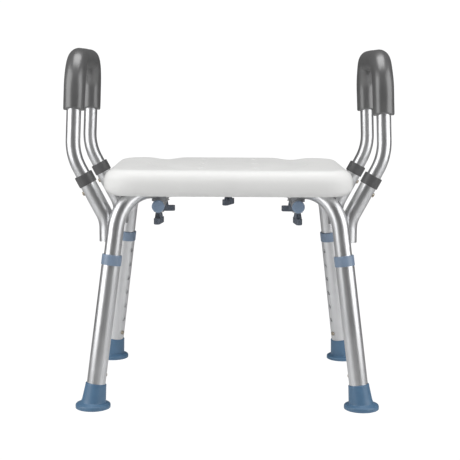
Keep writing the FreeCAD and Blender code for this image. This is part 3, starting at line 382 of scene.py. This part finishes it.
def foamFinish():
    # closed-cell foam with a glossy skin: fine cells, and broad dents that break up the highlights
    material, shader = newMaterial("gripFoam", (0.10, 0.10, 0.10), 0.33, IOR=1.6)
    shader.inputs["Specular IOR Level"].default_value = 1.0
    vector = objectSpace(material)
    cells = addNode(material, "ShaderNodeTexVoronoi", Scale=1500.0)
    join(material, vector, cells.inputs["Vector"])
    broad = noiseNode(material, vector, 30, 3.0)
    fine = noiseNode(material, vector, 900, 3.0, 0.6)
    shade = tint(material, spread(material, broad, 0, 1), (0.085, 0.085, 0.086), (0.105, 0.105, 0.106))
    join(material, shade, shader.inputs["Base Color"])
    join(material, spread(material, fine, 0.28, 0.38), shader.inputs["Roughness"])
    first = bump(material, cells.outputs["Distance"], 0.12, 0.00012)
    join(material, bump(material, broad, 0.12, 0.0006, first), shader.inputs["Normal"])
    return material


finishes["weldBead"] = weldBeadFinish()

# start of a node's name and its finish, the longer starts first
finishOf = (
    ("seat_shell", "seatWhite"), ("seat_inserts", "insertBrass"), ("leg_frame", "uprightTube"),
    ("cross_tube_caps", "capSlate"), ("cross_tube", "crossTube"), ("saddle", "saddleGrey"),
    ("leg_collar", "collarSlate"), ("foot_washer", "frontSteel"), ("foot_", "footSlate"),
    ("leg_button_springs", "springSteel"), ("arm_button_springs", "springSteel"),
    ("leg_button", "buttonSteel"), ("arm_button", "buttonSteel"), ("bolt_washers", "frontSteel"),
    ("t_handle", "handleSlate"), ("t_stud", "frontSteel"), ("arm_receiver", "uprightTube"),
    ("receiver_collar", "mouthGrey"), ("receiver_welds", "weldBead"), ("armrest_tube", "uprightTube"),
)


def finishFor(node):
    if node.startswith("lower_leg_tube_"):
        return finishes["leg_" + node[len("lower_leg_tube_"):]]
    for start, finish in finishOf:
        if node.startswith(start):
            return finishes[finish]
    return finishes["mouthGrey"]


for nodeName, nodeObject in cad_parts.items():
    nodeObject.data.materials.clear()
    nodeObject.data.materials.append(finishFor(nodeName))
print("finishes made:", len(finishes))


# Seat: one blow-moulded slab with a bull-nose edge, drain channels on top and a dimpled recess below

seat = {
    "cornerRound": 0.050,
    "topRound": 0.020,
    "topSteps": 10,
    "rimRound": 0.0165,
    "rimSteps": 8,
    "rimWidth": 0.024,
    "rimDepth": 0.018,
    "flatInsets": (0.021, 0.025, 0.030, 0.036, 0.042),   # rows on the flat top, in from the side
    "rings": 30,                # rows from there to the middle
    "recessCorner": 0.015,
    "channelDepth": 0.0035,
    "channelWidth": 0.034,
    "channelAside": 0.107,      # from the seat's centre line to a channel, at the back
    "channelClosing": 0.040,    # how far it comes in towards the front
    "panel": 0.022,
    "dimple": 0.010,
    "dimpleTaper": math.radians(14),
    "dimpleSkin": 0.006,        # left over a dimple
    "dimpleLip": 0.0015,
    "dimpleEdge": 0.001,
    "drain": 0.0025,
    "drainFunnel": ((0, 0.0042), (0.0020, 0.0012), (0.0045, -0.002)),   # wider by, below the top
    "cutterReach": 0.01,
    "insertReach": 0.02,        # points nearer than this are one insert
}


def seatOutline(halfX, halfY, cornerRound, inset, arcSteps=14, sideSteps=(36, 28)):
    # points round a rounded rectangle drawn in by inset, always the same count
    radius = max(cornerRound - inset, 0.0005)
    cx, cy = halfX - inset - radius, halfY - inset - radius
    runs = [(-2 * cx, 0), (0, -2 * cy), (2 * cx, 0), (0, 2 * cy)]
    ring = []
    for quarter, (sx, sy) in enumerate(((1, 1), (-1, 1), (-1, -1), (1, -1))):
        for k in range(arcSteps):
            angle = math.pi / 2 * (quarter + k / arcSteps)
            ring.append(Vector((sx * cx + radius * math.cos(angle), sy * cy + radius * math.sin(angle), 0)))
        angle = math.pi / 2 * (quarter + 1)
        start = Vector((sx * cx + radius * math.cos(angle), sy * cy + radius * math.sin(angle), 0))
        steps = sideSteps[quarter % 2]
        for k in range(steps):
            ring.append(start + Vector((*runs[quarter], 0)) * (k / steps))
    return ring


def smoothStep(x):
    x = min(1.0, max(0.0, x))
    return x * x * (3 - 2 * x)


def topDrop(x, y, settings, halfX, halfY):
    # two shallow channels from the back towards the front, closing in a little on the way
    centre = settings["channelAside"] - settings["channelClosing"] * smoothStep((0.02 - y) / 0.16)
    away = abs(abs(x) - centre) / settings["channelWidth"]
    channel = math.cos(min(away, 1.0) * math.pi / 2) ** 2
    ahead = smoothStep((y + halfY - 0.020) / 0.030)
    sides = 1 - smoothStep((abs(x) - halfX + 0.034) / 0.030)
    return settings["channelDepth"] * channel * ahead * sides


def seatProfile(settings, bottom, top):
    # the side as (inset, height), from the recess mouth round to the flat top
    profile = [(settings["rimWidth"], bottom)]
    rimRound, topRound = settings["rimRound"], settings["topRound"]
    for k in range(settings["rimSteps"] + 1):
        angle = math.pi / 2 * k / settings["rimSteps"]
        profile.append((rimRound * (1 - math.sin(angle)), bottom + rimRound * (1 - math.cos(angle))))
    for k in range(settings["topSteps"] + 1):
        angle = math.pi / 2 * k / settings["topSteps"]
        profile.append((topRound * (1 - math.cos(angle)), top - topRound * (1 - math.sin(angle))))
    return profile + [(inset, top) for inset in settings["flatInsets"]]


def buildSeat(settings):
    low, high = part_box("seat_shell")
    middle = (low + high) / 2
    halfX, halfY = (high.x - low.x) / 2, (high.y - low.y) / 2
    profile = seatProfile(settings, low.z, high.z)
    points, faces = [], []
    for inset, z in profile:
        ring = seatOutline(halfX, halfY, settings["cornerRound"], inset)
        points += [Vector((p.x, p.y, z)) for p in ring]
    count = len(points) // len(profile)
    last = points[-count:]
    for k in range(1, settings["rings"]):
        share = 1 - k / settings["rings"]
        points += [Vector((p.x * share, p.y * share, high.z)) for p in last]
    points.append(Vector((0, 0, high.z)))
    rows = len(profile) + settings["rings"] - 1
    for row in range(rows - 1):
        faces += ringFaces(row * count, (row + 1) * count, count)
    faces += fanFaces((rows - 1) * count, len(points) - 1, count)
    # underside: the recess wall as (height, outward), its ceiling, and the rim's floor
    base, depth, rim = len(points), settings["rimDepth"], settings["rimWidth"]
    mouth = seatOutline(halfX - rim, halfY - rim, settings["recessCorner"], 0)
    wall = ((0.0, 0.0), (0.0012, -0.0006), (depth - 0.002, -0.0010), (depth, -0.003))
    for rise, out in wall:
        points += [Vector((p.x, p.y, low.z + rise)) + p.normalized() * out for p in mouth]
    points.append(Vector((0, 0, high.z - settings["panel"])))
    for row in range(len(wall) - 1):
        faces += ringFaces(base + row * count, base + (row + 1) * count, count)
    faces += fanFaces(base + (len(wall) - 1) * count, len(points) - 1, count)
    faces += ringFaces(0, base, count)
    topRound = settings["topRound"]
    for p in points:
        if p.z > high.z - topRound:
            share = smoothStep((p.z - high.z + topRound) / topRound)
            p.z -= topDrop(p.x, p.y, settings, halfX, halfY) * share
    shifted = [p + Vector((middle.x, middle.y, 0)) for p in points]
    piece = addPiece("moulded_seat", shifted, faces, "stool_frame", finishes["seatWhite"],
                     ["seat_shell"], 40)
    cutSeat(piece, settings, low, high)


def insertGroups(reach):
    # the points of each threaded insert
    groups = []
    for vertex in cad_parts["seat_inserts"].data.vertices:
        near = [group for group in groups if (vertex.co - group[0]).xy.length < reach]
        if near:
            near[0].append(vertex.co.copy())
        else:
            groups.append([vertex.co.copy()])
    return groups


def dimpleProfile(settings, ceiling, top):
    # a tapered dimple from below, and the drain hole that widens to the top
    floor = top - settings["dimpleSkin"]
    mouth, lip, edge = settings["dimple"], settings["dimpleLip"], settings["dimpleEdge"]
    tip = mouth - (floor - ceiling) * math.tan(settings["dimpleTaper"])
    below = ceiling - settings["cutterReach"]
    drain = settings["drain"]
    lowEdge = ceiling + 0.0001
    profile = [(0, below), (mouth + lip, below), (mouth + lip, lowEdge), (mouth, lowEdge + lip),
               (tip + edge, floor - edge), (tip, floor), (drain, floor)]
    profile += [(drain + wider, top - under) for wider, under in settings["drainFunnel"]]
    return profile + [(0, profile[-1][1])]


def cutSeat(piece, settings, low, high):
    # dimples from below with a drain hole through each, and pockets for the threaded inserts
    pitchX = (high.x - low.x - 2 * settings["rimWidth"]) / 4
    pitchY = (high.y - low.y - 2 * settings["rimWidth"]) / 3
    spots = [(-1.5, 0), (-0.5, 0), (0.5, 0), (1.5, 0), (-0.5, -1), (0.5, -1), (-0.5, 1), (0.5, 1)]
    ceiling = high.z - settings["panel"]
    below = ceiling - settings["cutterReach"]
    cutters = bmesh.new()

    def addCutter(profile, x, y):
        points, faces = latheMesh(profile, 40)
        made = [cutters.verts.new(p + Vector((x, y, 0))) for p in points]
        for face in faces:
            cutters.faces.new([made[i] for i in face])

    for sx, sy in spots:
        addCutter(dimpleProfile(settings, ceiling, high.z), sx * pitchX, sy * pitchY)
    for points in insertGroups(settings["insertReach"]):
        xs, ys = [p.x for p in points], [p.y for p in points]
        radius, top = (max(xs) - min(xs)) / 2, max(p.z for p in points)
        pocket = [(0, below), (radius, below), (radius, top), (0, top)]
        addCutter(pocket, (min(xs) + max(xs)) / 2, (min(ys) + max(ys)) / 2)
    bmesh.ops.recalc_face_normals(cutters, faces=cutters.faces)
    mesh = bpy.data.meshes.new("seatCutters")
    cutters.to_mesh(mesh)
    cutters.free()
    tool = bpy.data.objects.new("seatCutters", mesh)
    scene.collection.objects.link(tool)
    cut = piece.modifiers.new("cut", "BOOLEAN")
    cut.operation, cut.solver, cut.object = "DIFFERENCE", "EXACT", tool
    applyModifiers(piece)
    bpy.data.objects.remove(tool)
    piece.data.shade_smooth()
    piece.data.set_sharp_from_angle(angle=math.radians(40))


buildSeat(seat)
print("seat moulded")


# Feet: flared rubber shoe on a leaning neck

shoe = {
    "cup": 0.020,               # hollow under the foot
    "cupDepth": 0.0015,
    "rim": 0.0267,
    "rimHeight": 0.0060,
    "toe": 0.0008,
    "shoulder": 0.0030,
    "crease": (0.0190, 0.0086, 0.0018),     # radius, height and round where the neck meets the rim
    "waist": (0.0182, 0.0125),
    "band": 0.004,
    "bandFlare": 0.0002,
    "top": 0.0159,
    "height": 0.0375,
    "lip": 0.0012,
    "lipInside": 0.0002,
    "bore": 0.0144,
    "boreFloor": 0.0104,
    "rowHeight": 0.0025,        # rows along the neck, so that the lean blends in smoothly
    "leanFrom": 0.0045,
    "leanOver": 0.0095,
}


def shoeProfile(settings):
    top, height = settings["top"], settings["height"]
    bore, boreFloor = settings["bore"], settings["boreFloor"]
    profile = roundedProfile([
        (0, settings["cupDepth"], 0), (settings["cup"] - settings["cupDepth"], settings["cupDepth"], 0),
        (settings["cup"], 0, 0), (settings["rim"], 0, settings["toe"]),
        (settings["rim"], settings["rimHeight"], settings["shoulder"]),
        settings["crease"], (*settings["waist"], 0),
        (top + settings["bandFlare"], height - settings["band"], 0), (top, height, settings["lip"]),
        (bore, height, settings["lipInside"]), (bore, boreFloor, 0), (0, boreFloor, 0)])
    rows = []
    for (r0, z0), (r1, z1) in zip(profile, profile[1:]):
        steps = max(1, int(abs(z1 - z0) / settings["rowHeight"]))
        rows += [(r0 + (r1 - r0) * k / steps, z0 + (z1 - z0) * k / steps) for k in range(steps)]
    return rows + [profile[-1]]


def buildFoot(cornerName, settings):
    low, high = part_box("foot_" + cornerName)
    side, end = corners[cornerName]
    # the outer corner of the foot's box is the rim's, so it gives the foot's place on the floor
    rim = settings["rim"]
    across = low.x + rim if side < 0 else high.x - rim
    back = low.y + rim if end < 0 else high.y - rim
    place = Vector((across, back, low.z))
    points, faces = latheMesh(shoeProfile(settings), 96)
    tilt = Matrix.Rotation(-legLean, 4, "Y")
    for i, p in enumerate(points):
        share = smoothStep((p.z - settings["leanFrom"]) / settings["leanOver"])
        points[i] = p.lerp(tilt @ p, share)
    stand = Matrix.Translation(place) @ Matrix.Rotation(math.atan2(place.y, place.x), 4, "Z")
    addPiece("shoe_" + cornerName, [stand @ p for p in points], faces, "leg_" + cornerName,
             finishes["footSlate"], ["foot_" + cornerName], 50)


for cornerName in corners:
    buildFoot(cornerName, shoe)
print("feet moulded")


# Foam grips: skin-faced foam sleeves over the armrests' tops

grip = {
    "radius": 0.0165,
    "wall": 0.0054,
    "topBend": 0.048,           # centre-line radius of the top bends
    "lean": math.radians(2.46),
    "around": 56,
    "legRows": 40,
    "bendRows": 24,
    "topRows": 32,
    "endWave": 0.0016,          # unevenness of the cut ends
    "waveFade": 0.030,
    "endRound": 0.0032,
    "swell": 0.00035,
    "returnRows": 3,            # how far the bore is drawn in at each end
    "shortFront": {"left": 0.0055, "right": 0.0},
}


def centreLine(sideName, settings):
    # the grip's middle line, from the box of the foam sleeve: up, over and down again
    low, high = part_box("arm_grip_" + sideName)
    radius, bend, lean = settings["radius"], settings["topBend"], settings["lean"]
    side = -1 if sideName == "left" else 1
    top = high.z - radius * math.cos(lean)
    xTop = (low.x + radius) if side > 0 else (high.x - radius)
    front, back = low.y + radius, high.y - radius
    slope = Vector((side * math.sin(lean), 0, -math.cos(lean)))
    straight = (top - low.z) / math.cos(lean) - bend
    frontRun = straight - settings["shortFront"][sideName]
    legRows, bendRows, topRows = settings["legRows"], settings["bendRows"], settings["topRows"]

    def at(y, down):
        return Vector((xTop, y, top)) + slope * down

    path = [at(front, bend + frontRun * (1 - k / legRows)) for k in range(legRows + 1)]
    for k in range(1, bendRows + 1):
        angle = math.pi / 2 * k / bendRows
        path.append(at(front + bend * (1 - math.cos(angle)), bend * (1 - math.sin(angle))))
    path += [at(front + bend + (back - front - 2 * bend) * k / topRows, 0) for k in range(1, topRows + 1)]
    for k in range(1, bendRows + 1):
        angle = math.pi / 2 * k / bendRows
        path.append(at(back - bend + bend * math.sin(angle), bend * (1 - math.cos(angle))))
    path += [at(back, bend + straight * k / legRows) for k in range(1, legRows + 1)]
    return path, Vector((math.cos(lean) * side, 0, math.sin(lean)))


def gripRow(p, tangent, outward, fromEnd, ahead, settings):
    # one ring of the foam's skin and one of its bore; the ends are rounded over and a little wavy
    radius, curlLength = settings["radius"], settings["endRound"]
    sideAxis = tangent.cross(outward).normalized()
    fade = max(0.0, 1 - fromEnd / settings["waveFade"])
    curl = 1 - min(1.0, fromEnd / curlLength)
    rounded = radius - curlLength * 0.55 * (1 - math.sqrt(max(0.0, 1 - curl * curl)))
    skin, bore = [], []
    for k in range(settings["around"]):
        angle = 2 * math.pi * k / settings["around"]
        direction = outward * math.cos(angle) + sideAxis * math.sin(angle)
        ripple = noise.noise(Vector((math.cos(angle), math.sin(angle), p.x * 8 + (2 if ahead else 6))))
        shift = settings["endWave"] * (0.9 - 1.1 * math.cos(2 * angle) + 0.5 * ripple)
        swell = settings["swell"] * (noise.noise(p * 30 + direction * 0.9) - 0.6)
        lift = tangent * (shift * fade * (1 if ahead else -1))
        skin.append(p + direction * min(radius, rounded + swell) + lift)
        bore.append(p + direction * (radius - settings["wall"]) + lift)
    return skin, bore


def buildGrip(sideName, settings):
    path, outward = centreLine(sideName, settings)
    around, drawnIn = settings["around"], settings["returnRows"]
    total = sum((b - a).length for a, b in zip(path, path[1:]))
    run = 0
    skins, bores = [], []
    for i, p in enumerate(path):
        before, after = path[max(i - 1, 0)], path[min(i + 1, len(path) - 1)]
        if i:
            run += (p - path[i - 1]).length
        tangent = (after - before).normalized()
        skin, bore = gripRow(p, tangent, outward, min(run, total - run), run < total / 2, settings)
        skins.append(skin)
        bores.append(bore)
    # the rings in order: a bore's end, the skin, the other end, then a short return into each end
    loops = [bores[0]] + skins + [bores[-1]]
    points = [p for ring in loops + [bores[drawnIn], bores[-1 - drawnIn]] for p in ring]
    faces = []
    for row in range(len(loops) - 1):
        faces += ringFaces(row * around, (row + 1) * around, around)
    base = len(loops) * around
    faces += ringFaces(0, base, around) + ringFaces(base - around, base + around, around)
    return addPiece("foam_grip_" + sideName, points, faces, "armrest_" + sideName,
                    gripFoam, ["arm_grip_" + sideName], 50)


gripFoam = foamFinish()
for sideName in ("left", "right"):
    buildGrip(sideName, grip)
print("grips fitted")
